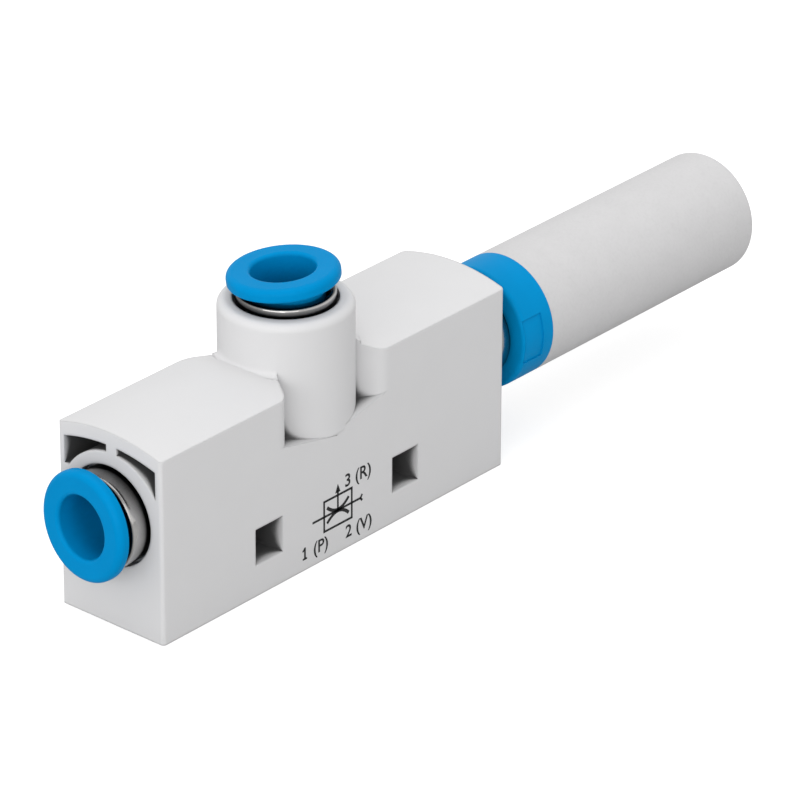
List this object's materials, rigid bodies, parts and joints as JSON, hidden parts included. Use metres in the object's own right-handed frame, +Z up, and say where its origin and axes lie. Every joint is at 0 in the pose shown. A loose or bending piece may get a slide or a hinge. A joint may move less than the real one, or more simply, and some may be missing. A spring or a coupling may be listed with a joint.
{
  "type": "vacuum ejector",
  "caption": "In-line vacuum ejector: crowned plastic block with push-in tube ports for supply and vacuum, nozzles inside and a porous exhaust silencer.",
  "frame": {"origin": "on the flat base, under the axis of the vacuum port", "axes": "+Z up the vacuum port, +X along the jet from the supply port to the silencer, +Y completes a right-handed frame"},
  "size_m": [0.1003, 0.0142, 0.0308],
  "materials": {
    "housing_plastic": "fine moulded texture, light grey",
    "plated_collar": "bright nickel plating",
    "blue_plastic": "satin moulded, bright blue",
    "blue_cap_plastic": "satin moulded, bright blue",
    "spring_steel": "bright sheet",
    "inner_plastic": "moulded",
    "seal_rubber": "matt",
    "jet_alloy": "turned",
    "natural_acetal": "turned",
    "porous_plastic": "sintered, finely porous, white"
  },
  "bodies": {
    "ejector": {"housing": "housing_plastic", "inlet_collar": "plated_collar", "inlet_claw_ring": "spring_steel", "inlet_support_ring": "inner_plastic", "inlet_tube_seal": "seal_rubber", "vacuum_collar": "plated_collar", "vacuum_claw_ring": "spring_steel", "vacuum_support_ring": "inner_plastic", "vacuum_tube_seal": "seal_rubber", "jet_nozzle": "jet_alloy", "jet_o_ring": "seal_rubber", "receiver_nozzle": "natural_acetal", "receiver_o_ring": "seal_rubber", "exhaust_collar": "plated_collar", "exhaust_o_ring": "seal_rubber", "silencer_cap": "blue_cap_plastic", "silencer_sleeve": "porous_plastic"},
    "inlet_ring": {"inlet_release_ring": "blue_plastic"},
    "vacuum_ring": {"vacuum_release_ring": "blue_plastic"}
  },
  "joints": [
    {"name": "inlet_release", "type": "slide", "parent": "ejector", "child": "inlet_ring", "axis": [1, 0, 0], "range_m": [-0.00072, 0.00003], "stiffness_N_per_m": 500},
    {"name": "vacuum_release", "type": "slide", "parent": "ejector", "child": "vacuum_ring", "axis": [0, 0, -1], "range_m": [-0.0003, 0.00045], "stiffness_N_per_m": 500}
  ]
}
